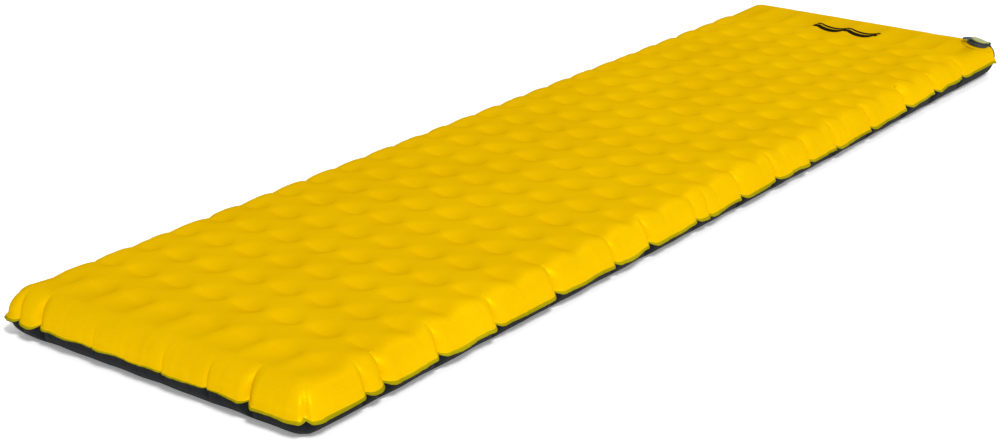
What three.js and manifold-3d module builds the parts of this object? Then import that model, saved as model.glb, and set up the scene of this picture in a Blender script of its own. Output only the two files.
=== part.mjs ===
// Inflatable sleeping pad, in millimetres. +Z is up, +Y points to the head end, and the origin is the
// centre of the face that lies on the ground. Two coated sheets are welded together round the edge,
// and rows of folded film ribbons hold them apart, so each weld pulls a dimple into the top sheet.
// A flat two-stage valve sits on the shoulder of one head corner.
import * as THREE from 'three';
import { mergeVertices } from 'three/addons/utils/BufferGeometryUtils.js';
import Module from 'manifold-3d';

const wasm = await Module();
wasm.setup();

// Driving dimensions of the pad
const padLength = 1830;      // over the weld flange
const padWidth = 508;
const crownHeight = 64;      // top of the bumps along the middle
const cornerRadius = 36;
const seamHeight = 30;       // where the two sheets meet
const seamInset = 5;         // how far the seam lies inside the flange's edge
const flangeDrop = 9;        // the flange hangs this far below the seam
const shoulderReach = 42;    // the top rises from the seam to full height over this width
const sheetThickness = 1.5;
const gap = 0.3;             // between pieces that touch

// The lattice of welds, with a dimple in the middle of each cell
const columnPitch = 60;
const rowPitch = 65;
const columns = 8;
const rows = 26;
const latticeCentreY = -22;  // the valve needs room, so the plain edge is wider at the head
const latticeX = columns * columnPitch / 2;
const latticeY = rows * rowPitch / 2;
const dimpleDepth = 7;
const grooveShare = 0.42;    // depth of the groove between two dimples of a row
const saddleShare = 0.15;    // depth between two dimples of a column

// Internal film pieces
const ribbonThickness = 0.8;
const ribbonWidth = 12;
const foldClearance = 1.2;   // from a fold's middle line to the face that it is welded to
const undersideDimple = 6;   // the lower welds lift the bottom sheet's cloth this far off the ground
const filmThickness = 0.5;
const filmHeight = 32;
const filmMargin = 25;       // from the pad's edge to the film's edge
const filmCorner = 50;       // the film's corners are cut off this far along each side
const slotWidth = 16;
const slotOverrun = 6;       // each slot is this much longer than the ribbon at each end

// Valve, in its own frame: +Z out of the sheet, +X down the shoulder and over the corner
const valvePlace = [222, 870];
const valveOutward = [0.8, 0.6]; // the way from the valve over the corner
const valveTilt = THREE.MathUtils.degToRad(15);
const patchRadius = 27;
const patchThickness = 1;
const baseRadius = 17;
const baseTop = 3;
const baseRoot = -8;         // the ring is cut off where it meets the patch
const dumpBoreRadius = 11;
const sheetHoleRadius = 11.6;
const plugRadius = 15.5;
const plugTop = 4.8;
const neckTopRadius = 10.6;
const neckFootRadius = 9;    // the taper lets the neck swing out of the base's bore
const neckFoot = -7;
const mouthRadius = 7;
const gridBar = 1.4;         // cross bars that the flap closes against
const gridDepth = 1;
const flapRadius = 8.2;
const flapThickness = 0.8;
const capRadius = 14;
const capThickness = 2.6;
const capBossRadius = 6.6;
const capBossFootRadius = 6.2;
const capBossDepth = 2.3;    // below the plug's top face
const tabLength = 16;        // the cap's pull tab
const tabHalf = 5.5;
const tabDroop = THREE.MathUtils.degToRad(18); // the tab bends down here to follow the sheet
const tabBend = 16.2;        // from the cap's middle to that bend, just past the plug's rim
const tabRun = capRadius + tabLength - tabBend - tabHalf;
const dumpHingeX = 22;
const capHingeX = 18.5;
const strapWidth = 9;
const capStrapWidth = 7;
const strapRoot = 3;         // a strap or tab starts this far inside the rim that it grows from
const leashWidth = 10;
const leashThickness = 1.2;
const leashStart = 24.5;
const leashEndHeight = 35;   // the leash ends just above the seam

const roundSegments = 32;
const weldTolerance = 1e-4;  // points closer than this are one point
const joinOverlap = 0.1;     // solids that are added together share this much
const cutReach = 20;         // cutting solids reach this far above and below the valve's face
const stripReach = 55;       // the leash is cut from a strip this long and this deep
const cornerSegments = 6;
const stopsAcross = 8;       // divisions of the top sheet's plain edge along a short side
const stopsAlong = 13;       // and along a long side

const material = {
  topFabric: new THREE.MeshStandardMaterial({ color: 0xe0b200, roughness: 0.55 }),
  bottomFabric: new THREE.MeshStandardMaterial({ color: 0x2d2e31, roughness: 0.7 }),
  trussFilm: new THREE.MeshStandardMaterial({ color: 0xd9dbd4, roughness: 0.4 }),
  reflectiveFilm: new THREE.MeshStandardMaterial({ color: 0xc4c7cb, roughness: 0.2, metalness: 0.9 }),
  valveClear: new THREE.MeshStandardMaterial({ color: 0xa9ad62, roughness: 0.35 }),
  valveDark: new THREE.MeshStandardMaterial({ color: 0x26292b, roughness: 0.5 }),
  leash: new THREE.MeshStandardMaterial({ color: 0x1f2021, roughness: 0.8 }),
  silicone: new THREE.MeshStandardMaterial({ color: 0x8f9799, roughness: 0.6 }),
};

// ---- Solids and booleans -------------------------------------------------------------------------

function solidOf(geometry) {
  const bare = geometry.clone();
  bare.deleteAttribute('normal');
  bare.deleteAttribute('uv');
  const merged = mergeVertices(bare, weldTolerance);
  return new wasm.Manifold(new wasm.Mesh({
    numProp: 3,
    vertProperties: merged.attributes.position.array,
    triVerts: new Uint32Array(merged.index.array),
  }));
}

function geometryOf(solid) {
  const mesh = solid.getMesh();
  const geometry = new THREE.BufferGeometry();
  geometry.setAttribute('position', new THREE.BufferAttribute(mesh.vertProperties, mesh.numProp));
  geometry.setIndex(new THREE.BufferAttribute(mesh.triVerts, 1));
  geometry.computeVertexNormals();
  return geometry;
}

function named(name, geometry, itsMaterial) {
  const mesh = new THREE.Mesh(geometry, itsMaterial);
  mesh.name = name;
  return mesh;
}

// Closed skin built from points; faces that have collapsed to a line are left out.
class Skin {
  constructor() {
    this.positions = [];
    this.faces = [];
    this.known = new Map();
  }

  point(p) {
    const key = p.map((v) => Math.round(v / weldTolerance)).join();
    if (!this.known.has(key)) {
      this.known.set(key, this.positions.length / 3);
      this.positions.push(...p);
    }
    return this.known.get(key);
  }

  triangle(a, b, c) {
    const [i, j, k] = [this.point(a), this.point(b), this.point(c)];
    if (i !== j && j !== k && k !== i) this.faces.push(i, j, k);
  }

  quad(a, b, c, d) {
    this.triangle(a, b, c);
    this.triangle(a, c, d);
  }

  // Fills between two loops that turn the same way, matching their points by station.
  fill(outer, inner, facingUp = true) {
    const stationAfter = (loop, i) => {
      if (i === loop.length) return Infinity;
      return i + 1 < loop.length ? loop[i + 1].station : loop[0].station + turn;
    };
    let i = 0;
    let j = 0;
    while (i < outer.length || j < inner.length) {
      const a = outer[i % outer.length].at;
      const b = inner[j % inner.length].at;
      const outerIsNext = stationAfter(outer, i) <= stationAfter(inner, j);
      if (outerIsNext) i += 1;
      else j += 1;
      const next = outerIsNext ? outer[i % outer.length].at : inner[j % inner.length].at;
      if (facingUp) this.triangle(a, next, b);
      else this.triangle(b, next, a);
    }
  }

  // Closes a flat loop round the Z axis.
  lid(loop) {
    const middle = [0, 0, loop[0].at[2]];
    loop.forEach(({ at }, i) => this.triangle(at, loop[(i + 1) % loop.length].at, middle));
  }

  geometry() {
    const geometry = new THREE.BufferGeometry();
    geometry.setAttribute('position', new THREE.Float32BufferAttribute(this.positions, 3));
    geometry.setIndex(this.faces);
    geometry.computeVertexNormals();
    return geometry;
  }
}

// ---- The inflated shape --------------------------------------------------------------------------

// How far a point lies inside the flange's edge.
function insetOf(x, y) {
  const beyondX = Math.abs(x) - (padWidth / 2 - cornerRadius);
  const beyondY = Math.abs(y) - (padLength / 2 - cornerRadius);
  const outside = Math.hypot(Math.max(beyondX, 0), Math.max(beyondY, 0));
  return cornerRadius - outside - Math.min(Math.max(beyondX, beyondY), 0);
}

// The shoulder is a quarter of an ellipse that stands on the seam.
function shoulderHeight(inset) {
  const u = THREE.MathUtils.clamp((inset - seamInset) / shoulderReach, 0, 1);
  return seamHeight + (crownHeight - seamHeight) * Math.sqrt(1 - (1 - u) ** 2);
}

// How far straight up the shoulder moves when it is moved by one unit along its normal. The ellipse
// is upright at the seam itself, so the slope is taken a little inside it.
const leastShare = 0.01;

function riseFor(inset) {
  const u = THREE.MathUtils.clamp((inset - seamInset) / shoulderReach, leastShare, 1);
  const slope = (crownHeight - seamHeight) / shoulderReach * (1 - u) / Math.sqrt(1 - (1 - u) ** 2);
  return Math.hypot(1, slope);
}

// How far the welds pull the sheet down: deepest in the middle of a cell, shallower along its sides.
function dip(x, y) {
  const acrossRow = (1 + Math.cos(2 * Math.PI * ((y - latticeCentreY) / rowPitch + 0.5))) / 2;
  const alongRow = (1 + Math.cos(2 * Math.PI * (x / columnPitch + 0.5))) / 2;
  const groove = acrossRow * (grooveShare + (1 - grooveShare) * alongRow);
  return dimpleDepth * (groove + saddleShare * alongRow * (1 - acrossRow));
}

// The flange's section from its edge to the seam, and the foot of the wall above it: [inset, height].
const wallFoot = seamInset + 1;
const edgeSection = [
  [0, seamHeight - flangeDrop],
  [seamInset, seamHeight],
  [wallFoot, shoulderHeight(wallFoot)],
];

// A section moved sideways by a distance, to the outside of the pad where it is positive, and mitred.
function offsetSection(section, distance) {
  const points = section.map(([inset, z]) => new THREE.Vector2(inset, z));
  const sides = points.slice(1).map((p, i) => {
    const along = p.clone().sub(points[i]).normalize();
    return new THREE.Vector2(-along.y, along.x);
  });
  return points.map((p, i) => {
    const before = sides[Math.max(i - 1, 0)];
    const after = sides[Math.min(i, sides.length - 1)];
    const mitre = before.clone().add(after).normalize();
    const moved = p.clone().addScaledVector(mitre, distance / mitre.dot(before));
    return [moved.x, moved.y];
  });
}

// Loops start at the +X end of the head corner at +X and turn towards the head. A quarter of a turn
// is one corner, up to the station arcEnd, and the straight side after it.
const turn = 4;
const arcEnd = 0.2;
const quarterSigns = [[1, 1], [-1, 1], [-1, -1], [1, -1]];

function outline(inset, z, withStops = false) {
  const radius = cornerRadius - inset;
  const halfX = padWidth / 2 - cornerRadius;
  const halfY = padLength / 2 - cornerRadius;
  return quarterSigns.flatMap(([sx, sy], quarter) => {
    const points = Array.from({ length: cornerSegments + 1 }, (_, i) => {
      const share = i / cornerSegments;
      const angle = (quarter + share) * Math.PI / 2;
      const at = [sx * halfX + radius * Math.cos(angle), sy * halfY + radius * Math.sin(angle), z];
      return { at, station: quarter + arcEnd * share, quarter };
    });
    const stops = quarter % 2 ? stopsAlong : stopsAcross;
    for (let k = 1; withStops && k < stops; k += 1) {
      const run = 1 - 2 * k / stops;
      const [x, y] = quarter % 2
        ? [sx * (halfX + radius), sy * halfY * run]
        : [sx * halfX * run, sy * (halfY + radius)];
      points.push({ at: [x, y, z], station: quarter + arcEnd + (1 - arcEnd) * k / stops, quarter });
    }
    return points;
  });
}

function latticePoint(i, j, distance) {
  const x = -latticeX + i * columnPitch / 2;
  const y = latticeCentreY - latticeY + j * rowPitch / 2;
  const inset = insetOf(x, y);
  return [x, y, shoulderHeight(inset) + distance * riseFor(inset) - dip(x, y)];
}

// The edge of the lattice, which is a plain rectangle.
function latticeRim(distance) {
  const across = 2 * columns;
  const along = 2 * rows;
  const rim = [];
  quarterSigns.forEach(([sx, sy], quarter) => {
    const count = quarter % 2 ? along : across;
    const corner = [sx > 0 ? across : 0, sy > 0 ? along : 0];
    const step = [[-1, 0], [0, -1], [1, 0], [0, 1]][quarter];
    rim.push({ at: latticePoint(...corner, distance), station: quarter });
    for (let k = 1; k < count; k += 1) {
      const at = latticePoint(corner[0] + k * step[0], corner[1] + k * step[1], distance);
      rim.push({ at, station: quarter + arcEnd + (1 - arcEnd) * k / count });
    }
  });
  return rim;
}

// Plain loops of the shoulder between the seam and the lattice, at these shares of the way.
const shoulderShares = [0.12, 0.3, 0.6];

function shoulderLoops(distance) {
  return shoulderShares.map((share) => outline(seamInset, 0, true).map(({ at, station, quarter }) => {
    const rim = latticeRimAt(quarter, station);
    const x = THREE.MathUtils.lerp(at[0], rim[0], share);
    const y = THREE.MathUtils.lerp(at[1], rim[1], share);
    const inset = insetOf(x, y);
    return { at: [x, y, shoulderHeight(inset) + distance * riseFor(inset)], station };
  }));
}

// The point of the lattice's edge that faces a station.
function latticeRimAt(quarter, station) {
  const [sx, sy] = quarterSigns[quarter];
  const run = 1 - 2 * Math.max(0, (station - quarter - arcEnd) / (1 - arcEnd));
  const [x, y] = quarter % 2 ? [sx * latticeX, sy * latticeY * run] : [sx * latticeX * run, sy * latticeY];
  return [x, latticeCentreY + y];
}

// The loops of the top sheet's surface, moved outwards by a distance.
function topLoops(distance) {
  const edge = offsetSection(edgeSection, distance).slice(0, 2);
  const edgeLoops = edge.map(([inset, z]) => outline(inset, z, true));
  return [...edgeLoops, ...shoulderLoops(distance), latticeRim(distance)];
}

// The dimpled field inside the last loop. Each quad is split from dimple to crest.
function addLattice(skin, distance, facingUp) {
  for (let i = 0; i < 2 * columns; i += 1) {
    for (let j = 0; j < 2 * rows; j += 1) {
      const corners = [[0, 0], [1, 0], [1, 1], [0, 1]]
        .map(([right, up]) => latticePoint(i + right, j + up, distance));
      if ((i + j) % 2) corners.push(corners.shift());
      const [a, b, c, d] = corners;
      skin.quad(...(facingUp ? [a, b, c, d] : [a, d, c, b]));
    }
  }
}

function topSheet() {
  const skin = new Skin();
  const outer = topLoops(0);
  const inner = topLoops(-sheetThickness);
  for (let i = 0; i + 1 < outer.length; i += 1) {
    skin.fill(outer[i], outer[i + 1]);
    skin.fill(inner[i], inner[i + 1], false);
  }
  skin.fill(outer[0], inner[0], false);
  addLattice(skin, 0, true);
  addLattice(skin, -sheetThickness, false);
  return skin.geometry();
}

// The whole inflated volume, grown by a distance: used to fit the valve's pieces to the sheet.
function inflatedVolume(distance) {
  const skin = new Skin();
  const loops = topLoops(distance);
  for (let i = 0; i + 1 < loops.length; i += 1) skin.fill(loops[i], loops[i + 1]);
  addLattice(skin, distance, true);
  skin.lid([...loops[0]].reverse());
  return solidOf(skin.geometry());
}

// The bottom sheet is a shallow tray. Its wall runs down from the seam and turns into the flat floor.
const trayWall = [
  [10, 17], [13.5, 10], [18, 5.2], [23, 2.6], [28, sheetThickness], [34, sheetThickness],
];

function bottomSheet() {
  const flange = offsetSection(edgeSection, -(sheetThickness + gap)).slice(0, 2);
  const section = [...flange, ...trayWall];
  const inside = section.map(([inset, z]) => outline(inset, z));
  const outside = offsetSection(section, -sheetThickness).map(([inset, z]) => outline(inset, z));
  const skin = new Skin();
  for (let i = 0; i + 1 < outside.length; i += 1) {
    skin.fill(outside[i], outside[i + 1], false);
    skin.fill(inside[i], inside[i + 1]);
  }
  skin.fill(outside[0], inside[0]);
  skin.lid([...outside.at(-1)].reverse());
  skin.lid(inside.at(-1));
  return skin.geometry();
}

// ---- Internal pieces -----------------------------------------------------------------------------

// The closed outline of a ribbon that follows a polyline, with mitred corners that are cut short at
// a sharp fold.
const sharpestMitre = 0.3;

function ribbonShape(points, thickness) {
  const side = (sign) => points.map((p, i) => {
    const before = points[Math.max(i - 1, 0)];
    const after = points[Math.min(i + 1, points.length - 1)];
    const arriving = p.clone().sub(i ? before : p.clone().sub(after).add(p)).normalize();
    const leaving = (i < points.length - 1 ? after.clone().sub(p) : arriving.clone()).normalize();
    const mitre = arriving.clone().add(leaving).normalize();
    const reach = sign * thickness / 2 / Math.max(mitre.dot(leaving), sharpestMitre);
    return new THREE.Vector2(p.x - mitre.y * reach, p.y + mitre.x * reach);
  });
  return new THREE.Shape([...side(1).reverse(), ...side(-1)]);
}

// One truss: a film ribbon folded up and down across the pad, with a fold under each dimple.
function truss(name, y) {
  const foot = sheetThickness + foldClearance + undersideDimple;
  const folds = 2 * columns - 1;
  const points = Array.from({ length: folds }, (_, k) => {
    const x = -latticeX + (k + 1) * columnPitch / 2;
    const inset = insetOf(x, y);
    const weld = shoulderHeight(inset) - dimpleDepth - sheetThickness * riseFor(inset) - foldClearance;
    return new THREE.Vector2(x, k % 2 ? foot : weld);
  });
  const geometry = new THREE.ExtrudeGeometry(
    ribbonShape(points, ribbonThickness),
    { depth: ribbonWidth, bevelEnabled: false },
  );
  const mesh = named(name, geometry, material.trussFilm);
  mesh.rotation.x = Math.PI / 2;
  mesh.position.y = y + ribbonWidth / 2;
  return mesh;
}

function rectangle(halfX, halfY, y = 0) {
  return [
    new THREE.Vector2(-halfX, y - halfY),
    new THREE.Vector2(halfX, y - halfY),
    new THREE.Vector2(halfX, y + halfY),
    new THREE.Vector2(-halfX, y + halfY),
  ];
}

// The reflective film hangs between the sheets and has a slot for each truss.
function reflectiveFilm() {
  const halfX = padWidth / 2 - filmMargin;
  const halfY = padLength / 2 - filmMargin;
  const shape = new THREE.Shape(quarterSigns.flatMap(([sx, sy]) => {
    const ends = [
      new THREE.Vector2(sx * halfX, sy * (halfY - filmCorner)),
      new THREE.Vector2(sx * (halfX - filmCorner), sy * halfY),
    ];
    return sx * sy > 0 ? ends : ends.reverse();
  }));
  for (let row = 0; row < rows; row += 1) {
    const slot = rectangle(latticeX - columnPitch / 2 + slotOverrun, slotWidth / 2, rowPosition(row));
    shape.holes.push(new THREE.Path(slot.reverse()));
  }
  const geometry = new THREE.ExtrudeGeometry(shape, { depth: filmThickness, bevelEnabled: false });
  const mesh = named('reflective_film', geometry, material.reflectiveFilm);
  mesh.position.z = filmHeight;
  return mesh;
}

function rowPosition(row) {
  return latticeCentreY - latticeY + (row + 0.5) * rowPitch;
}

// ---- Valve ---------------------------------------------------------------------------------------

// A disc or cone along Z between two heights.
function turned(footRadius, topRadius, foot, top) {
  const geometry = new THREE.CylinderGeometry(topRadius, footRadius, top - foot, roundSegments);
  geometry.rotateX(Math.PI / 2);
  geometry.translate(0, 0, (foot + top) / 2);
  return solidOf(geometry);
}

function block([x0, x1], [y0, y1], [z0, z1]) {
  const geometry = new THREE.BoxGeometry(x1 - x0, y1 - y0, z1 - z0);
  geometry.translate((x0 + x1) / 2, (y0 + y1) / 2, (z0 + z1) / 2);
  return solidOf(geometry);
}

// The valve's frame: on the shoulder of the head corner at +X, leaning down that shoulder.
function valveFrame() {
  const [x, y] = valvePlace;
  const outward = new THREE.Vector3(...valveOutward, 0);
  const up = new THREE.Vector3(0, 0, Math.cos(valveTilt)).addScaledVector(outward, Math.sin(valveTilt));
  const sideways = new THREE.Vector3(0, 0, 1).cross(outward);
  const forward = sideways.clone().cross(up);
  const frame = new THREE.Matrix4().makeBasis(forward, sideways, up);
  frame.setPosition(x, y, shoulderHeight(insetOf(x, y)));
  return frame;
}

const frame = valveFrame();

function inPad(solid) {
  return solidOf(geometryOf(solid).applyMatrix4(frame));
}

// Clear patch that is welded to the sheet round the valve's hole, shaped to the sheet.
function valvePatch() {
  const skin = inflatedVolume(gap + patchThickness).subtract(inflatedVolume(gap));
  const ring = turned(patchRadius, patchRadius, -cutReach, cutReach);
  const hole = turned(sheetHoleRadius, sheetHoleRadius, -cutReach, cutReach);
  return geometryOf(skin.intersect(inPad(ring.subtract(hole))));
}

// Ring that stands on the patch, with a lug that the dump plug's strap is moulded to.
function valveBase() {
  const half = strapWidth / 2;
  const lug = block([baseRadius - strapRoot, leashStart - gap], [-half, half], [baseRoot, baseTop]);
  const ring = turned(baseRadius, baseRadius, baseRoot, baseTop).add(lug);
  const bore = turned(dumpBoreRadius, dumpBoreRadius, -cutReach, cutReach);
  return geometryOf(inPad(ring.subtract(bore)).subtract(inflatedVolume(patchThickness + 2 * gap)));
}

// Plug with the one-way mouth in it: pulled out of the base it lets the air out at once.
function dumpPlug() {
  const underside = baseTop + gap;
  const half = strapWidth / 2;
  const strapEnd = dumpHingeX - gap;
  const postTop = plugTop + capThickness;
  const strap = block([plugRadius - strapRoot, strapEnd], [-half, half], [underside, plugTop]);
  const post = block([capHingeX + gap, strapEnd], [-half, half], [underside, postTop]);
  const body = turned(plugRadius, plugRadius, underside, plugTop)
    .add(turned(neckFootRadius, neckTopRadius, neckFoot, underside + joinOverlap))
    .add(strap)
    .add(post);
  const mouth = turned(mouthRadius, mouthRadius, -cutReach, cutReach);
  const reach = (mouthRadius + neckFootRadius) / 2;
  const across = [-gridBar / 2, gridBar / 2];
  const gridHeights = [neckFoot, neckFoot + gridDepth];
  const grid = block([-reach, reach], across, gridHeights)
    .add(block(across, [-reach, reach], gridHeights));
  return geometryOf(body.subtract(mouth).add(grid));
}

// Silicone flap that air from outside pushes open and air inside presses shut.
function oneWayFlap() {
  const top = neckFoot - gap;
  return geometryOf(turned(flapRadius, flapRadius, top - flapThickness, top));
}

// Cap with a boss that closes the mouth and a tab to pull it up by.
function mouthCap() {
  const foot = plugTop + gap;
  const top = foot + capThickness;
  const half = capStrapWidth / 2;
  const root = block([-tabBend - joinOverlap, strapRoot - capRadius], [-tabHalf, tabHalf], [foot, top]);
  const drooping = block([-tabRun, joinOverlap], [-tabHalf, tabHalf], [0, capThickness])
    .add(movedAlong(turned(tabHalf, tabHalf, 0, capThickness), -tabRun));
  const bend = new THREE.Matrix4().makeRotationY(-tabDroop).setPosition(-tabBend, 0, foot);
  const tab = root.add(solidOf(geometryOf(drooping).applyMatrix4(bend)));
  return geometryOf(
    turned(capRadius, capRadius, foot, top)
      .add(turned(capBossFootRadius, capBossRadius, plugTop - capBossDepth, foot + joinOverlap))
      .add(block([capRadius - strapRoot, capHingeX - gap], [-half, half], [foot, top]))
      .add(tab),
  );
}

function movedAlong(solid, x) {
  return solidOf(geometryOf(solid).translate(x, 0, 0));
}

// Leash from the valve's lug over the corner to the seam, lying on the sheet.
function valveLeash() {
  const lift = patchThickness + 2 * gap;
  const skin = inflatedVolume(lift + leashThickness).subtract(inflatedVolume(lift));
  const half = leashWidth / 2;
  const strip = inPad(block([leashStart, stripReach], [-half, half], [-stripReach, cutReach]));
  const aboveSeam = block([0, padWidth], [0, padLength], [leashEndHeight, 2 * crownHeight]);
  return geometryOf(skin.intersect(strip).intersect(aboveSeam));
}

// ---- Assembly ------------------------------------------------------------------------------------

const pad = new THREE.Group();

const sheetHole = inPad(turned(sheetHoleRadius, sheetHoleRadius, -cutReach, cutReach));
pad.add(
  named('top_sheet', geometryOf(solidOf(topSheet()).subtract(sheetHole)), material.topFabric),
  named('bottom_sheet', bottomSheet(), material.bottomFabric),
  reflectiveFilm(),
);

for (let row = 0; row < rows; row += 1) {
  const number = String(row + 1).padStart(2, '0');
  pad.add(truss(`truss_${number}`, rowPosition(row)));
}

pad.add(
  named('valve_patch', valvePatch(), material.valveClear),
  named('valve_base', valveBase(), material.valveDark),
  named('valve_leash', valveLeash(), material.leash),
);

const valve = new THREE.Group();
valve.applyMatrix4(frame);
valve.add(
  named('dump_plug', dumpPlug(), material.valveDark),
  named('one_way_flap', oneWayFlap(), material.silicone),
  named('mouth_cap', mouthCap(), material.valveClear),
);
pad.add(valve);

export default pad;
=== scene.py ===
# The inflatable sleeping pad as it looks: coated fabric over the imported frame, in metres.
# +Z is up and +Y points to the head end. The rows of welds come from the frame, and the valve is where
# the frame has it. The seam runs 1 mm lower than the frame's, and climbs towards the head on the +X side.
import math

import bpy
import numpy as np
from mathutils import Matrix, Vector
from mathutils.bvhtree import BVHTree


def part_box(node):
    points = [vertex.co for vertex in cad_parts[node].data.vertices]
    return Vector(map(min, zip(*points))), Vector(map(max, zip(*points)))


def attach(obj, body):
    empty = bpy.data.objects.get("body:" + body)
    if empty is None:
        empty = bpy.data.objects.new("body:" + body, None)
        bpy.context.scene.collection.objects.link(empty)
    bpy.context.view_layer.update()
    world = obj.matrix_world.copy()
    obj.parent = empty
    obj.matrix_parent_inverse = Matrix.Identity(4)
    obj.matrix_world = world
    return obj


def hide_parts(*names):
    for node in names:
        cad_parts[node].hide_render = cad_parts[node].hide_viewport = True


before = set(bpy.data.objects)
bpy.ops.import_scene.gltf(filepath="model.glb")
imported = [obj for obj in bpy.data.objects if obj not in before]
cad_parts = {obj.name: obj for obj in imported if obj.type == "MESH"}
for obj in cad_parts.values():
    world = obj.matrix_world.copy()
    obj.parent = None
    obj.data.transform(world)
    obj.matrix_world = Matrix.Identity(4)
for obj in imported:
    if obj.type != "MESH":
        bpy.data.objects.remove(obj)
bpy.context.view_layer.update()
rng = np.random.default_rng(7)

# ---- Sizes ---------------------------------------------------------------------------------------

_, top_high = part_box("top_sheet")
HALF_WIDTH = top_high.x
HALF_LENGTH = top_high.y
CROWN = top_high.z
SEAM_HEIGHT = 0.029
SEAM_INSET = 0.005
FLANGE_DROP = 0.0065
SEAM_RISE = 0.002            # the seam runs this much higher along the ends than along the sides
HEAD_RISE = 0.008            # the +X side's seam climbs this much more towards the head
CORNER_PINCH = 0.25          # how much the shoulder falls away towards a corner
SHOULDER_REACH = 0.043       # from the outline to the level top
SHOULDER_POWER = 2.1         # above 2 the shoulder is squarer than an ellipse
CORNER_RADIUS = 0.030
CORNER_ARC = CORNER_RADIUS * math.pi / 2
STRAIGHT_X = HALF_WIDTH - CORNER_RADIUS   # where the outline's straight runs end
STRAIGHT_Y = HALF_LENGTH - CORNER_RADIUS
UNDERSIDE_POWER = 2.1        # the bottom sheet's shoulder, in the same terms
UNDERSIDE_REACH = 0.028
FLANGE_RUN = 0.0065          # the flange's width on the flat cloth
CELL = 0.0043                # the mesh's spacing on the flat cloth
CREASE_SPREAD = (0, 0.0009, -0.0009, 0.0024, -0.0024, 0.0048, -0.0048)  # extra lines by a pleat
SHEET_THICKNESS = 0.0005

truss_boxes = [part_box(name) for name in sorted(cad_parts) if name.startswith("truss_")]
ROW_LINES = np.array([(low.y + high.y) / 2 for low, high in truss_boxes])
ROW_PITCH = ROW_LINES[1] - ROW_LINES[0]
COLUMN_PITCH = 0.060
COLUMN_LINES = (np.arange(8) - 3.5) * COLUMN_PITCH
LOWER_COLUMN_LINES = (np.arange(7) - 3) * COLUMN_PITCH

WELD_DEPTH = 0.0068          # how far a weld lies below the bumps beside it
WAIST_DEPTH = 0.0006         # the groove between two welds of a row
WELD_HALF = 0.0255           # half of a weld's length along its row
DIMPLE_REACH = (0.012, 0.031)  # how far a dimple spreads from its row, at its tips and in its middle
SHOULDER_GROOVE = 0.0012     # each row runs on down the long sides as a groove of this depth
UNDERSIDE_DEPTH = 0.0045     # the lower welds lift the bottom sheet this much
CREASE_ROUNDING = 0.0018     # rounds the crease along a weld
SAG = 0.0004                 # slight unevenness of the level cloth
RIPPLE = 0.0004              # fine upright ripples of the wall
FLANGE_WANDER = 0.0011       # how far the flange's edge wanders in and out
SEAM_WANDER = 0.0013         # and the seam up and down

# Pleats where the cloth is gathered round the edge, with their depths in metres. Those of the long side
# are placed by row of welds, those of the foot end by X in metres, and the near corner's by an angle.
SIDE_PLEAT_ROWS = {
    0.4: 0.006, 0.9: 0.010, 2.4: 0.0075, 4.1: 0.008, 6.0: 0.0095, 8.0: 0.006, 9.3: 0.0085,
    11.1: 0.006, 11.6: 0.004, 13.0: 0.0085, 14.5: 0.006, 16.1: 0.007, 17.4: 0.006, 19.2: 0.008,
    21.2: 0.013, 22.8: 0.010, 24.4: 0.007,
}
FOOT_PLEATS = {
    -0.215: 0.006, -0.180: 0.009, -0.084: 0.0015, 0.030: 0.0018, 0.100: 0.0025, 0.160: 0.009,
}
CORNER_PLEAT_ANGLES = {-42: 0.0060}

# The valve's own frame: +X down the shoulder and over the corner, +Z out of the sheet.
VALVE_PLACE = np.array([0.222, 0.870, 0.06176])
VALVE_TILT = math.radians(15)
OUTWARD = np.array([0.8, 0.6, 0])
VALVE_UP = OUTWARD * math.sin(VALVE_TILT) + np.array([0, 0, math.cos(VALVE_TILT)])
VALVE_SIDEWAYS = np.array([-0.6, 0.8, 0])
VALVE_FORWARD = np.cross(VALVE_SIDEWAYS, VALVE_UP)
VALVE_AXES = np.stack([VALVE_FORWARD, VALVE_SIDEWAYS, VALVE_UP], -1)
SEAT_RADIUS = 0.018          # the sheet's points are laid level under the valve out to here
SEAT_END = 0.038             # and are left in their own places from here
HOLE_RADIUS = 0.0135
TAB_DROOP = math.radians(18)
LEASH_START = 0.0225         # both ends' distances from the valve's axis
LEASH_END = 0.0300
LEASH_HALF_WIDTH = 0.005
MM = 0.001
AROUND = 72                  # steps round a turned piece
SHARP_ANGLE = math.radians(35)

PRINT_PLACE = (-0.002, 0.797)
PRINT_BARS = ((0, 0, 0.125, 0.013), (0.018, 0, 0.125, 0.006))  # along Y, along X, length, width

CAMERA_PLACE = (1.5237, -2.2709, 0.9495)
CAMERA_TURN = 0.6419
CAMERA_TILT = math.pi / 2 - 0.3570
CAMERA_ROLL = 0.0042
FLOOR_SIDE = 14


def smooth(t):
    t = np.clip(t, 0, 1)
    return t * t * (3 - 2 * t)


def add_object(name, data):
    piece = bpy.data.objects.new(name, data)
    bpy.context.scene.collection.objects.link(piece)
    return piece


def shade_smooth(mesh):
    mesh.polygons.foreach_set("use_smooth", np.ones(len(mesh.polygons), bool))


# ---- Camera, floor and light ---------------------------------------------------------------------

def make_camera():
    data = bpy.data.cameras.new("camera")
    data.lens = 69.6
    data.sensor_width = 36
    camera = add_object("camera", data)
    turn = Matrix.Rotation(CAMERA_TURN, 4, "Z")
    tilt = Matrix.Rotation(CAMERA_TILT, 4, "X")
    roll = Matrix.Rotation(CAMERA_ROLL, 4, "Z")
    camera.matrix_world = Matrix.Translation(CAMERA_PLACE) @ turn @ tilt @ roll
    bpy.context.scene.camera = camera


def make_area_light(name, place, size, power, aim=(0, 0, 0)):
    data = bpy.data.lights.new(name, "AREA")
    data.shape = "DISK"
    data.size = size
    data.energy = power
    light = add_object(name, data)
    light.location = place
    light.rotation_mode = "QUATERNION"
    light.rotation_quaternion = (Vector(aim) - Vector(place)).to_track_quat("-Z", "Y")


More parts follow.
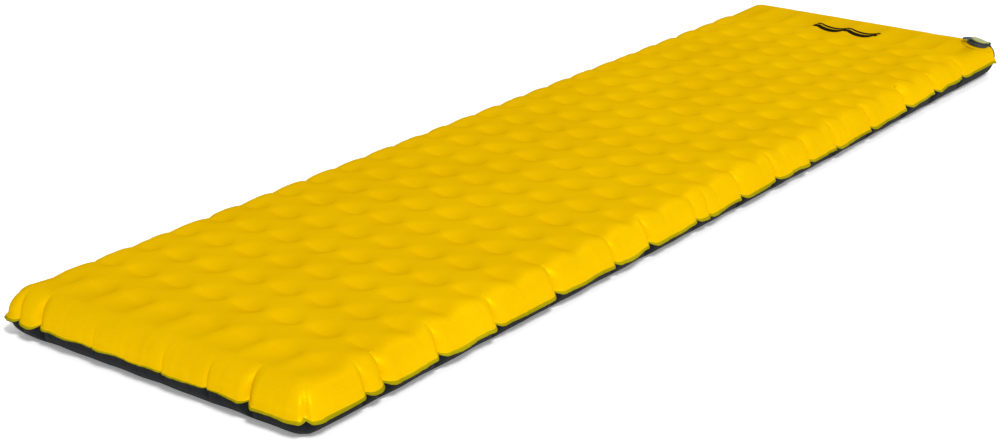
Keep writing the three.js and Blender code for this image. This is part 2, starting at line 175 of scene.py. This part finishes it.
def make_studio():
    mesh = bpy.data.meshes.new("floor")
    corners = [(x * FLOOR_SIDE, y * FLOOR_SIDE, 0) for x, y in ((-1, -1), (1, -1), (1, 1), (-1, 1))]
    mesh.from_pydata(corners, [], [(0, 1, 2, 3)])
    floor = add_object("floor", mesh)
    material = bpy.data.materials.new("floor")
    material.use_nodes = True
    shader = material.node_tree.nodes["Principled BSDF"]
    shader.inputs["Base Color"].default_value = (1, 1, 1, 1)
    shader.inputs["Roughness"].default_value = 0.8
    shader.inputs["Emission Color"].default_value = (1, 1, 1, 1)
    shader.inputs["Emission Strength"].default_value = 0.22
    mesh.materials.append(material)

    world = bpy.data.worlds.new("studio")
    bpy.context.scene.world = world
    world.use_nodes = True
    background = world.node_tree.nodes["Background"]
    background.inputs["Color"].default_value = (1, 1, 1, 1)
    background.inputs["Strength"].default_value = 0.50
    make_area_light("key", (5.6, -4.4, 7.4), 2.0, 770)
    make_area_light("head_fill", (0.7, 1.9, 2.6), 1.5, 15, aim=(0, 0.8, 0))
    bpy.context.scene.view_settings.view_transform = "Standard"


# ---- Materials -----------------------------------------------------------------------------------

def new_material(name, colour, roughness):
    material = bpy.data.materials.new(name)
    material.use_nodes = True
    shader = material.node_tree.nodes["Principled BSDF"]
    shader.inputs["Base Color"].default_value = (*colour, 1)
    shader.inputs["Roughness"].default_value = roughness
    return material, material.node_tree, shader


def add_noise(tree, scale, detail, stretch=(1, 1, 1)):
    """Noise over the object's own place, from 0 to 1."""
    place = tree.nodes.new("ShaderNodeTexCoord")
    stretched = tree.nodes.new("ShaderNodeMapping")
    stretched.inputs["Scale"].default_value = stretch
    noise = tree.nodes.new("ShaderNodeTexNoise")
    noise.inputs["Scale"].default_value = scale
    noise.inputs["Detail"].default_value = detail
    tree.links.new(place.outputs["Object"], stretched.inputs["Vector"])
    tree.links.new(stretched.outputs["Vector"], noise.inputs["Vector"])
    return noise.outputs["Fac"]


def add_weave(tree, threads_per_metre):
    """Plain weave: two crossed sets of fine waves over the object's own place."""
    place = tree.nodes.new("ShaderNodeTexCoord")
    sets = []
    for direction in ("X", "Y"):
        wave = tree.nodes.new("ShaderNodeTexWave")
        wave.bands_direction = direction
        wave.inputs["Scale"].default_value = threads_per_metre / 20
        tree.links.new(place.outputs["Object"], wave.inputs["Vector"])
        sets.append(wave.outputs["Fac"])
    both = tree.nodes.new("ShaderNodeMath")
    both.operation = "MULTIPLY"
    tree.links.new(sets[0], both.inputs[0])
    tree.links.new(sets[1], both.inputs[1])
    return both.outputs["Value"]


def vary_colour(tree, shader, low, high, factor):
    """The base colour runs from one colour to another by a factor."""
    ramp = tree.nodes.new("ShaderNodeValToRGB")
    ramp.color_ramp.elements[0].position = 0.3
    ramp.color_ramp.elements[1].position = 0.7
    ramp.color_ramp.elements[0].color = (*low, 1)
    ramp.color_ramp.elements[1].color = (*high, 1)
    tree.links.new(factor, ramp.inputs["Fac"])
    tree.links.new(ramp.outputs["Color"], shader.inputs["Base Color"])


def vary_roughness(tree, shader, low, high, factor):
    spread = tree.nodes.new("ShaderNodeMapRange")
    spread.inputs["To Min"].default_value = low
    spread.inputs["To Max"].default_value = high
    tree.links.new(factor, spread.inputs["Value"])
    tree.links.new(spread.outputs["Result"], shader.inputs["Roughness"])


def add_bumps(tree, shader, layers):
    """Stacks bumps; each layer is a height, its depth in metres and its strength."""
    normal = None
    for height, depth, strength in layers:
        bump = tree.nodes.new("ShaderNodeBump")
        bump.inputs["Distance"].default_value = depth
        bump.inputs["Strength"].default_value = strength
        tree.links.new(height, bump.inputs["Height"])
        if normal is not None:
            tree.links.new(normal, bump.inputs["Normal"])
        normal = bump.outputs["Normal"]
    tree.links.new(normal, shader.inputs["Normal"])


def coated_fabric(name, low, high, roughness, sheen, lustre, wrinkle=0.0008):
    material, tree, shader = new_material(name, high, roughness)
    patches = add_noise(tree, 9, 3)
    vary_colour(tree, shader, low, high, patches)
    vary_roughness(tree, shader, roughness - 0.05, roughness + 0.07, add_noise(tree, 40, 2))
    creases = add_noise(tree, 55, 4, (1, 1, 0.25))
    gathers = add_noise(tree, 75, 3, (1, 1, 0.08))
    add_bumps(tree, shader, [
        (creases, wrinkle, 0.5), (gathers, 1.2 * wrinkle, 0.5), (add_weave(tree, 1800), 0.00006, 0.35),
    ])
    shader.inputs["Specular IOR Level"].default_value = 0.0
    shader.inputs["Specular Tint"].default_value = (*sheen, 1)
    shader.inputs["Metallic"].default_value = lustre
    return material


def moulded(name, low, high, roughness, transmission=0.0):
    material, tree, shader = new_material(name, high, roughness)
    vary_colour(tree, shader, low, high, add_noise(tree, 120, 2))
    vary_roughness(tree, shader, roughness - 0.04, roughness + 0.08, add_noise(tree, 300, 2))
    add_bumps(tree, shader, [(add_noise(tree, 900, 3), 0.00005, 0.3)])
    shader.inputs["Transmission Weight"].default_value = transmission
    return material


def film(name, low, high, roughness, metallic):
    material, tree, shader = new_material(name, high, roughness)
    vary_colour(tree, shader, low, high, add_noise(tree, 30, 3))
    vary_roughness(tree, shader, roughness - 0.05, roughness + 0.1, add_noise(tree, 80, 2))
    add_bumps(tree, shader, [(add_noise(tree, 160, 5), 0.0004, 0.5)])
    shader.inputs["Metallic"].default_value = metallic
    return material


YELLOW_SHEEN = (1.0, 0.62, 0.002)
TOP_FABRIC = coated_fabric(
    "top_fabric", (0.70, 0.415, 0.0004), (0.75, 0.455, 0.0006), 0.42, YELLOW_SHEEN, 0.12)
SEAM_FABRIC = coated_fabric(
    "welded_flange", (0.27, 0.23, 0.002), (0.40, 0.33, 0.004), 0.5, YELLOW_SHEEN, 0.1)
BOTTOM_FABRIC = coated_fabric(
    "bottom_fabric", (0.011, 0.012, 0.013), (0.019, 0.020, 0.022), 0.5, (1, 1, 1), 0.3)
TRUSS_FILM = film("truss_film", (0.62, 0.64, 0.60), (0.74, 0.75, 0.71), 0.35, 0.0)
REFLECTIVE_FILM = film("reflective_film", (0.52, 0.54, 0.56), (0.72, 0.73, 0.75), 0.22, 1.0)
VALVE_DARK = moulded("valve_dark", (0.014, 0.017, 0.018), (0.026, 0.030, 0.031), 0.42)
VALVE_CLEAR = moulded("valve_clear", (0.42, 0.45, 0.14), (0.52, 0.54, 0.20), 0.32, 0.25)
PATCH_FILM = coated_fabric(
    "patch_film", (0.66, 0.39, 0.0004), (0.70, 0.42, 0.0006), 0.34, YELLOW_SHEEN, 0.12)
# Painted shade: the mouth cap's tab is coloured dark slate grey, as the cap's tab looks in shade.
TAB_PAINTED_SHADE = moulded("tab_painted_shade", (0.050, 0.062, 0.066), (0.075, 0.090, 0.094), 0.5)
SILICONE = moulded("silicone", (0.26, 0.28, 0.29), (0.34, 0.36, 0.37), 0.55)
LEASH_WEBBING = moulded("leash_webbing", (0.010, 0.010, 0.011), (0.022, 0.022, 0.024), 0.7)
PRINT_INK = coated_fabric(
    "print_ink", (0.010, 0.009, 0.004), (0.018, 0.015, 0.006), 0.5, YELLOW_SHEEN, 0.0)

# ---- The inflated sheets -------------------------------------------------------------------------

def shoulder_section():
    """The top sheet's section: flat distance from the flange's edge, inset and height."""
    angle = np.linspace(0, math.pi / 2, 400)
    across = np.cos(angle) ** (2 / SHOULDER_POWER)
    up = np.sin(angle) ** (2 / SHOULDER_POWER)
    inset = SEAM_INSET + (SHOULDER_REACH - SEAM_INSET) * (1 - across)
    height = SEAM_HEIGHT + (CROWN - SEAM_HEIGHT) * up
    inset = np.concatenate([[0, SEAM_INSET / 2], inset])
    height = np.concatenate([[SEAM_HEIGHT - FLANGE_DROP, SEAM_HEIGHT - 0.35 * FLANGE_DROP], height])
    return with_distance(inset, height)


def underside_section():
    """The bottom sheet's section, from under the flange's edge down to the ground."""
    angle = np.linspace(0, math.pi / 2, 200)
    drop = SEAM_HEIGHT - 0.0012
    inset = SEAM_INSET + 0.001 + UNDERSIDE_REACH * (1 - np.cos(angle) ** (2 / UNDERSIDE_POWER))
    height = drop * (1 - np.sin(angle) ** (2 / UNDERSIDE_POWER))
    level = np.linspace(inset[-1] + 0.004, SHOULDER_REACH, 12)
    inset = np.concatenate([[0.0006], inset, level])
    height = np.concatenate([[SEAM_HEIGHT - FLANGE_DROP - 0.0004], height, np.zeros(12)])
    return with_distance(inset, height)


def with_distance(inset, height):
    steps = np.hypot(np.diff(inset), np.diff(height))
    return np.concatenate([[0], np.cumsum(steps)]), inset, height


def stations(section, half, lines, creases):
    """Mesh lines over one direction of the flat cloth, with one on each given line and more of them
    by each crease. There is none between the outermost given line and the start of the shoulder.
    Returns each line's flat distance from its nearer edge and its place."""
    distance, inset, _ = section
    edge_run = np.interp(half - np.abs([lines[0], lines[-1]]), inset, distance)
    first = np.linspace(0, edge_run[0], round(edge_run[0] / CELL) + 1)
    last = np.linspace(edge_run[1], 0, round(edge_run[1] / CELL) + 1)
    per_pitch = round((lines[1] - lines[0]) / CELL)
    middle = np.linspace(lines[0], lines[-1], per_pitch * (len(lines) - 1) + 1)
    middle_run = distance[-1] + (half - inset[-1] - np.abs(middle))
    inside = half - np.abs(middle) < inset[-1]
    middle_run[inside] = np.interp(half - np.abs(middle[inside]), inset, distance)
    run = np.concatenate([first[:-1], middle_run, last[1:]])
    place = np.concatenate([
        np.interp(first[:-1], distance, inset) - half,
        middle,
        half - np.interp(last[1:], distance, inset),
    ])
    extra = [crease + offset for crease in sorted(creases) for offset in CREASE_SPREAD]
    fixed = list(lines)
    for value in extra + list(place):
        if min(abs(value - other) for other in fixed) > 0.0007 and abs(value) < half:
            fixed.append(value)
    fixed = np.sort([-half, *[value for value in fixed if abs(value) < half - 0.0003], half])
    return np.interp(fixed, place, run), fixed


def inflated(section, crown):
    """The sheet's points before its dimples: a grid whose rings round a corner are superellipses."""
    distance, inset, height = section
    run_x, line_x = stations(section, HALF_WIDTH, COLUMN_LINES, FOOT_PLEATS)
    side_creases = [ROW_LINES[0] + row * ROW_PITCH for row in SIDE_PLEAT_ROWS]
    run_y, line_y = stations(section, HALF_LENGTH, ROW_LINES, side_creases)
    reach, full_run = inset[-1], distance[-1]
    ring = np.minimum(run_x[:, None], run_y[None, :])
    ring_inset = np.interp(ring, distance, inset)
    z = np.interp(ring, distance, height)
    out_x = np.clip(1 - run_x / full_run, 0, 1)[:, None] + np.zeros_like(ring)
    out_y = np.clip(1 - run_y / full_run, 0, 1)[None, :] + np.zeros_like(ring)
    x = line_x[:, None] + np.zeros_like(ring)
    y = line_y[None, :] + np.zeros_like(ring)
    corner = (out_x > 0) & (out_y > 0)
    power = math.log(2) / -math.log(1 - CORNER_RADIUS * (1 - math.sqrt(0.5)) / reach)
    most = np.maximum(out_x, out_y)[corner]
    share_x = out_x[corner] / most
    share_y = out_y[corner] / most
    radius = (reach - ring_inset[corner]) / (share_x**power + share_y**power) ** (1 / power)
    x[corner] = np.sign(x[corner]) * (HALF_WIDTH - reach + radius * share_x)
    y[corner] = np.sign(y[corner]) * (HALF_LENGTH - reach + radius * share_y)
    cornerness = np.zeros_like(ring)
    cornerness[corner] = (share_x * share_y) ** 1.5
    share = np.clip((z - SEAM_HEIGHT) / (crown - SEAM_HEIGHT), 0, 1)
    pinched = SEAM_HEIGHT + (crown - SEAM_HEIGHT) * share ** (1 + CORNER_PINCH * cornerness)
    z = np.where(ring_inset > SEAM_INSET, pinched, z) if crown > SEAM_HEIGHT else z
    return {
        "points": np.stack([x, y, z], -1), "ring": ring, "full_run": full_run, "inset": ring_inset,
        "line_x": line_x[:, None] + np.zeros_like(ring), "line_y": line_y[None, :] + np.zeros_like(ring),
    }


def normals_of(points):
    along_x = np.gradient(points, axis=0)
    along_y = np.gradient(points, axis=1)
    normal = np.cross(along_x, along_y)
    return normal / np.maximum(np.linalg.norm(normal, axis=-1, keepdims=True), 1e-12)


def round_the_edge(points):
    """How far round the outline each point is, from the foot end of the +X side."""
    x, y = points[..., 0], points[..., 1]
    beyond_x = np.abs(x) - STRAIGHT_X
    beyond_y = np.abs(y) - STRAIGHT_Y
    angle = np.arctan2(np.maximum(beyond_y, 0), np.maximum(beyond_x, 1e-9))
    on_long_side = beyond_x > beyond_y
    in_corner = (beyond_x > 0) & (beyond_y > 0)
    y_in = np.clip(y, -STRAIGHT_Y, STRAIGHT_Y)
    x_in = np.clip(x, -STRAIGHT_X, STRAIGHT_X)
    right = y_in + STRAIGHT_Y
    head = 2 * STRAIGHT_Y + CORNER_ARC + STRAIGHT_X - x_in
    left = 2 * STRAIGHT_Y + 2 * CORNER_ARC + 2 * STRAIGHT_X + STRAIGHT_Y - y_in
    foot = 4 * STRAIGHT_Y + 3 * CORNER_ARC + 2 * STRAIGHT_X + STRAIGHT_X + x_in
    around = np.where(on_long_side, np.where(x > 0, right, left), np.where(y > 0, head, foot))
    turned = CORNER_RADIUS * angle
    corners = np.select(
        [(x > 0) & (y > 0), (x <= 0) & (y > 0), (x <= 0) & (y <= 0)],
        [2 * STRAIGHT_Y + turned, 2 * STRAIGHT_Y + CORNER_ARC + 2 * STRAIGHT_X + CORNER_ARC - turned,
         4 * STRAIGHT_Y + 2 * CORNER_ARC + 2 * STRAIGHT_X + turned],
        -turned,
    )
    total = 4 * STRAIGHT_X + 4 * STRAIGHT_Y + 4 * CORNER_ARC
    return np.where(in_corner, corners, around) % total, total


def edge_places():
    """Each pleat's place round the outline and its depth, the unseen sides with pleats like these."""
    pleats = []
    for row, depth in SIDE_PLEAT_ROWS.items():
        pleats.append((ROW_LINES[0] + row * ROW_PITCH + STRAIGHT_Y, depth))
    foot_start = 4 * STRAIGHT_Y + 3 * CORNER_ARC + 2 * STRAIGHT_X
    for x, depth in FOOT_PLEATS.items():
        pleats.append((foot_start + STRAIGHT_X + x, depth))
    for angle, depth in CORNER_PLEAT_ANGLES.items():
        pleats.append((CORNER_RADIUS * math.radians(angle), depth))
    place = 2 * STRAIGHT_Y + 0.02
    while place < foot_start:
        pleats.append((place, 0.004 + 0.006 * rng.random()))
        place += ROW_PITCH * (0.6 + 1.3 * rng.random())
    return pleats


def smooth_noise(values, scale, seed):
    """Noise along one direction, from -1 to 1, made of waves that don't repeat together."""
    waves = np.random.default_rng(seed)
    total = np.zeros_like(values)
    for _ in range(6):
        pace = scale * (0.6 + 0.9 * waves.random())
        total += np.sin(values * 2 * math.pi / pace + 2 * math.pi * waves.random())
    return total / 3.5


def leaf_dimples(x, y, weld_lines, depth):
    """Leaf-shaped dimples, one on each weld, with a crease along the weld and pointed ends."""
    off = np.abs(x[..., None] - weld_lines).min(-1)
    from_row = np.abs(y[..., None] - ROW_LINES).min(-1)
    share = np.clip(1 - (off / WELD_HALF) ** 2, 0, 1)
    spread = DIMPLE_REACH[0] + (DIMPLE_REACH[1] - DIMPLE_REACH[0]) * share
    eased = np.sqrt(from_row**2 + CREASE_ROUNDING**2) - CREASE_ROUNDING
    return depth * share**0.9 * np.clip(1 - eased / spread, 0, 1) ** 1.7


def dimples(grid):
    """How far the welds hold the top sheet down at each point."""
    x, y, ring = grid["line_x"], grid["line_y"], grid["ring"]
    from_row = np.abs(y[..., None] - ROW_LINES).min(-1)
    arch = np.clip(1 - from_row / (ROW_PITCH / 2), 0, 1) ** 2
    side = smooth((np.abs(x) - 0.222) / 0.012)
    groove = (WAIST_DEPTH + SHOULDER_GROOVE * side) * arch
    sag = SAG * smooth_noise(x + 0.3 * y, 0.09, 8) * smooth_noise(y - 0.2 * x, 0.07, 9)
    welds = leaf_dimples(x, y, COLUMN_LINES, WELD_DEPTH - WAIST_DEPTH)
    return smooth((ring - 0.030) / 0.030) * (welds + sag) + smooth((ring - 0.012) / 0.030) * groove


def pleated(points, grid, pleats, reach=1.0):
    """Pulls the wall and the flange in along each pleat, and lets the seam wander between them.
    reach is how far the pleats run up the sheet, as a share of their usual run."""
    around, total = round_the_edge(points)
    inner = np.stack([
        np.clip(points[..., 0], -STRAIGHT_X, STRAIGHT_X),
        np.clip(points[..., 1], -STRAIGHT_Y, STRAIGHT_Y),
    ], -1)
    outward = points[..., :2] - inner
    outward /= np.maximum(np.linalg.norm(outward, axis=-1, keepdims=True), 1e-9)
    ring = grid["ring"]
    pull = np.zeros_like(ring)
    for place, depth in pleats:
        off = np.abs((around - place + total / 2) % total - total / 2)
        half_width = 0.003 + depth
        height = reach * (0.030 + 4.5 * depth)
        fade = smooth(1 - (ring - 0.012) / height)
        pull = np.maximum(pull, depth * fade * np.clip(1 - off / half_width, 0, 1) ** 1.7)
    wall = smooth(1 - (ring - 0.016) / (0.055 * reach))
    fine = RIPPLE * smooth_noise(around, 0.017, 3) * wall
    flange = smooth(1 - ring / 0.011)
    wavy = FLANGE_WANDER * smooth_noise(around, 0.045, 4) * flange
    end = smooth((np.abs(points[..., 1]) - STRAIGHT_Y) / CORNER_RADIUS)
    middle = end * smooth(1.35 - np.abs(points[..., 0]) / STRAIGHT_X)
    width = 1 - 0.45 * middle + 0.12 * smooth_noise(around, 0.11, 6)
    rise = SEAM_RISE * middle + SEAM_WANDER * smooth_noise(around, 0.09, 5)
    lift = rise * smooth(1 - (ring - 0.01) / 0.05)
    towards_head = smooth((points[..., 1] - 0.30) / 0.45) * smooth(points[..., 0] / 0.2)
    towards_head = towards_head * smooth((0.915 - points[..., 1]) / 0.04)
    lift += HEAD_RISE * towards_head * smooth(1 - (ring - 0.01) / 0.04)
    short = np.where(grid["inset"] < SEAM_INSET, 1 - width, 0)
    moved = points.copy()
    moved[..., :2] += outward * (fine + wavy - pull - short * (SEAM_INSET - grid["inset"]))[..., None]
    moved[..., 2] += lift + 0.45 * flange * pull + short * (SEAM_HEIGHT - points[..., 2])
    return moved


def grid_faces(nx, ny):
    """The four corners of each face of a grid, as numbers of its points."""
    index = np.arange(nx * ny).reshape(nx, ny)
    return np.stack([index[:-1, :-1], index[1:, :-1], index[1:, 1:], index[:-1, 1:]], -1)


def sheet_object(name, points, slots, slot_of_face, flip=False, hole=None):
    """A thin sheet over a grid of points. hole says which faces are left out."""
    quads = grid_faces(*points.shape[:2])
    if flip:
        quads = quads[..., ::-1]
    kept = np.ones(quads.shape[:2], bool) if hole is None else ~hole
    mesh = bpy.data.meshes.new(name)
    mesh.from_pydata(points.reshape(-1, 3).tolist(), [], quads[kept].tolist())
    for material in slots:
        mesh.materials.append(material)
    mesh.polygons.foreach_set("material_index", slot_of_face[kept].astype(np.int32))
    shade_smooth(mesh)
    piece = add_object(name, mesh)
    thicken = piece.modifiers.new("thickness", "SOLIDIFY")
    thicken.thickness = SHEET_THICKNESS
    thicken.offset = -1
    return piece


def face_mean(values):
    return (values[:-1, :-1] + values[1:, :-1] + values[1:, 1:] + values[:-1, 1:]) / 4


def in_valve_frame(points):
    return (points - VALVE_PLACE) @ VALVE_AXES


def seated(points):
    """Lays the sheet's points level under the valve."""
    local = in_valve_frame(points)
    away = np.hypot(local[..., 0], local[..., 1])
    share = smooth((SEAT_END - away) / (SEAT_END - SEAT_RADIUS)) * smooth((local[..., 2] + 0.030) / 0.015)
    local[..., 2] *= 1 - share
    return VALVE_PLACE + local @ VALVE_AXES.T


def make_top_sheet(pleats):
    """Makes the sheet and returns its surface, which the patch, the leash and the print lie on."""
    grid = inflated(shoulder_section(), CROWN)
    base = grid["points"]
    points = base - normals_of(base) * dimples(grid)[..., None]
    points = seated(pleated(points, grid, pleats))
    on_flange = face_mean(grid["ring"]) < FLANGE_RUN
    # The hole leaves out the faces whose middles are over the mouth. A face that only reaches across
    # the mouth, as those between the last row and the shoulder do, stays.
    middles = face_mean(in_valve_frame(points))
    hole = (np.hypot(middles[..., 0], middles[..., 1]) < HOLE_RADIUS) & (np.abs(middles[..., 2]) < 0.02)
    piece = sheet_object("top_fabric_sheet", points, [TOP_FABRIC, SEAM_FABRIC], on_flange, hole=hole)
    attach(piece, "pad")
    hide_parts("top_sheet")
    quads = grid_faces(*grid["ring"].shape)
    return BVHTree.FromPolygons(points.reshape(-1, 3).tolist(), quads.reshape(-1, 4).tolist())


def make_bottom_sheet(pleats):
    grid = inflated(underside_section(), 0)
    points = pleated(grid["points"], grid, pleats, reach=0.35)
    lifted = leaf_dimples(grid["line_x"], grid["line_y"], LOWER_COLUMN_LINES, UNDERSIDE_DEPTH)
    points[..., 2] += smooth((grid["ring"] - 0.060) / 0.020) * lifted
    points[..., 2] = np.maximum(points[..., 2], 0)
    one_slot = np.zeros_like(face_mean(grid["ring"]))
    piece = sheet_object("bottom_fabric_sheet", points, [BOTTOM_FABRIC], one_slot, flip=True)
    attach(piece, "pad")
    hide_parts("bottom_sheet")


def finish_films():
    for name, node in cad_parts.items():
        if name.startswith("truss_"):
            node.data.materials.clear()
            node.data.materials.append(TRUSS_FILM)
    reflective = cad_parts["reflective_film"]
    reflective.data.materials.clear()
    reflective.data.materials.append(REFLECTIVE_FILM)


# ---- Valve and print -----------------------------------------------------------------------------

class Build:
    """Collects closed shells in the valve's frame, in millimetres, for one object."""

    def __init__(self):
        self.points = []
        self.faces = []

    def lathe(self, profile):
        """Turns a closed profile of (radius, height) pairs round the valve's axis."""
        first = len(self.points)
        for step in range(AROUND):
            angle = 2 * math.pi * step / AROUND
            self.points += [(r * math.cos(angle), r * math.sin(angle), z) for r, z in profile]
        count = len(profile)
        for step in range(AROUND):
            here = first + step * count
            there = first + (step + 1) % AROUND * count
            for i in range(count):
                k = (i + 1) % count
                self.faces.append((here + i, there + i, there + k, here + k))

    def plate(self, outline, low, high, round_off=0.35, place=None):
        """A plate with rounded upper and lower edges. place moves each of its points."""
        first = len(self.points)
        outline = np.array(outline, float)
        middle = outline.mean(0)
        size = np.abs(outline - middle).max(0)
        for inset, z in ((round_off, low), (0, low + round_off), (0, high - round_off), (round_off, high)):
            ring = middle + (outline - middle) * (1 - inset / size)
            self.points += [place(x, y, z) if place else (x, y, z) for x, y in ring]
        count = len(outline)
        for level in range(3):
            for i in range(count):
                k = (i + 1) % count
                here = first + level * count
                self.faces.append((here + i, here + k, here + count + k, here + count + i))
        self.faces.append(tuple(first + i for i in reversed(range(count))))
        self.faces.append(tuple(first + 3 * count + i for i in range(count)))

    def object(self, name, material, body, replaced):
        mesh = bpy.data.meshes.new(name)
        world = VALVE_PLACE + np.array(self.points) * MM @ VALVE_AXES.T
        mesh.from_pydata(world.tolist(), [], self.faces)
        mesh.materials.append(material)
        shade_smooth(mesh)
        mesh.set_sharp_from_angle(angle=SHARP_ANGLE)
        piece = add_object(name, mesh)
        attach(piece, body)
        if replaced:
            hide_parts(replaced)


def rounded_end(x0, x1, half, steps=10):
    """A strip from x1 to x0 with a round end at x0."""
    turn = np.linspace(math.pi / 2, 3 * math.pi / 2, steps)
    end = [(x0 + half + half * math.cos(a), half * math.sin(a)) for a in turn]
    return [(x1, half), *end, (x1, -half)]


def make_valve_base():
    base = Build()
    base.lathe([
        (11, -3), (18.4, -3), (18.4, 0.7), (17.9, 1.1), (17, 1.2), (17, 2.5), (16.5, 3), (15.9, 3),
        (15.7, 2.7), (12.2, 2.7), (12, 3), (11.3, 3), (11, 2.7),
    ])
    base.plate([(14, -4.5), (24.2, -4.5), (24.2, 4.5), (14, 4.5)], -1, 3)
    base.object("valve_base_ring", VALVE_DARK, "pad", "valve_base")


def make_dump_plug():
    plug = Build()
    plug.lathe([
        (7, -7), (9, -7), (9.3, -6.4), (9.6, -4), (10.1, -3.8), (10.1, -3), (9.9, -2.6), (10.6, 3.3),
        (15.1, 3.3), (15.5, 3.7), (15.5, 4.4), (15.1, 4.8), (7.6, 4.8), (7, 4.3),
    ])
    plug.plate([(12.5, -4.5), (21.7, -4.5), (21.7, 4.5), (12.5, 4.5)], 3.3, 4.75)
    plug.plate([(18.8, -4.5), (21.7, -4.5), (21.7, 4.5), (18.8, 4.5)], 4, 7.4)
    plug.plate([(-7.6, -0.7), (7.6, -0.7), (7.6, 0.7), (-7.6, 0.7)], -7, -6, 0.2)
    plug.plate([(-0.7, -7.6), (0.7, -7.6), (0.7, 7.6), (-0.7, 7.6)], -6.98, -6.02, 0.2)
    plug.object("dump_plug_body", VALVE_DARK, "dump_plug", "dump_plug")


def make_flap():
    flap = Build()
    turn = np.linspace(0, 2 * math.pi, AROUND, endpoint=False)
    flap.plate([(8.2 * math.cos(a), 8.2 * math.sin(a)) for a in turn], -8.1, -7.3, 0.25)
    flap.object("one_way_flap_disc", SILICONE, "one_way_flap", "one_way_flap")


def make_mouth_cap():
    cap = Build()
    cap.lathe([
        (0, 2.5), (5.7, 2.5), (6.2, 3), (6.5, 5.1), (13.4, 5.1), (14, 5.6), (14, 7), (13.4, 7.6),
        (12.3, 7.7), (11.6, 7.3), (10.9, 7.3), (10.3, 7.6), (4, 7.35), (0, 7.3),
    ])
    cap.plate([(11.5, -3.5), (18.2, -3.5), (18.2, 3.5), (11.5, 3.5)], 5.15, 7.55)
    cap.object("mouth_cap_disc", VALVE_CLEAR, "mouth_cap", "mouth_cap")

    def drooping(x, y, z):
        past = max(0, -16.2 - x)
        return x + 0.3 * past * math.sin(TAB_DROOP), y, z - past * math.tan(TAB_DROOP)

    tab = Build()
    tab.plate(rounded_end(-29.6, -13.2, 5.5, 18), 5.3, 7.5, 0.4, drooping)
    for x in (-19.5, -22, -24.5):
        rib = [(x - 0.6, -3.6), (x + 0.6, -3.6), (x + 0.6, 3.6), (x - 0.6, 3.6)]
        tab.plate(rib, 7.2, 8, 0.2, drooping)
    # The tab is drawn in the painted shade colour, dark slate grey standing in for the cap's tab in shade.
    tab.object("mouth_cap_tab", TAB_PAINTED_SHADE, "mouth_cap", None)


def laid_strip(name, rows, lift, thickness, material, replaced, tree, down):
    """A thin strip on the sheet. rows are lines of places above it, and down is the way to it."""
    upper, lower = [], []
    for row in rows:
        for place in row:
            hit, normal, _, _ = tree.ray_cast(Vector(place), Vector(down))
            normal = normal if normal.z > 0 else -normal
            lower.append(hit + normal * lift)
            upper.append(hit + normal * (lift + thickness))
    nx, ny = len(rows), len(rows[0])
    index = np.arange(nx * ny).reshape(nx, ny)
    top = grid_faces(nx, ny).reshape(-1, 4)
    rim = [*index[:, 0], *index[-1, 1:], *index[-2::-1, -1], *index[0, -2:0:-1]]
    count = nx * ny
    faces = [tuple(face) for face in top.tolist()]
    faces += [tuple(i + count for i in reversed(face)) for face in top.tolist()]
    faces += [(int(a), int(a) + count, int(b) + count, int(b)) for a, b in zip(rim, rim[1:] + rim[:1])]
    mesh = bpy.data.meshes.new(name)
    mesh.from_pydata(upper + lower, [], faces)
    mesh.materials.append(material)
    shade_smooth(mesh)
    mesh.set_sharp_from_angle(angle=SHARP_ANGLE)
    piece = add_object(name, mesh)
    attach(piece, "pad")
    if replaced:
        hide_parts(replaced)


def make_valve_patch(tree):
    rows = []
    for radius in np.linspace(0.0165, 0.027, 7):
        ring = []
        for angle in np.linspace(0, 2 * math.pi, 73):
            local = np.array([radius * math.cos(angle), radius * math.sin(angle), 0.02])
            ring.append(VALVE_PLACE + VALVE_AXES @ local)
        rows.append(ring)
    laid_strip("valve_patch_film", rows, 0.0002, 0.0004, PATCH_FILM, "valve_patch",
               tree, -VALVE_UP)


def make_leash(tree):
    rows = []
    for share in np.linspace(0, 1, 22):
        reach = LEASH_START + (LEASH_END - LEASH_START) * (1 - (1 - share) ** 2)
        above = VALVE_PLACE + OUTWARD * reach + np.array([0, 0, 0.03])
        across = np.linspace(-LEASH_HALF_WIDTH, LEASH_HALF_WIDTH, 5)
        rows.append([above + VALVE_SIDEWAYS * y for y in across])
    laid_strip("valve_leash_strap", rows, 0.0002, 0.0011, LEASH_WEBBING, "valve_leash",
               tree, (0, 0, -1))


def make_print(tree):
    """Two plain printed bars near the head end."""
    for number, (up, along, length, width) in enumerate(PRINT_BARS):
        rows = []
        for y in np.linspace(0, width, 6):
            xs = np.linspace(-length / 2, length / 2, 60) + PRINT_PLACE[0] + along
            rows.append([(x, PRINT_PLACE[1] + up + y, 0.2) for x in xs])
        rows = [list(row) for row in zip(*rows)]
        laid_strip(f"print_bar_{number}", rows, 0.0007, 0.0001, PRINT_INK, None,
                   tree, (0, 0, -1))


make_camera()
make_studio()
edge_pleats = edge_places()
surface = make_top_sheet(edge_pleats)
make_bottom_sheet(edge_pleats)
make_valve_patch(surface)
make_leash(surface)
make_print(surface)
make_valve_base()
make_dump_plug()
make_flap()
make_mouth_cap()
finish_films()
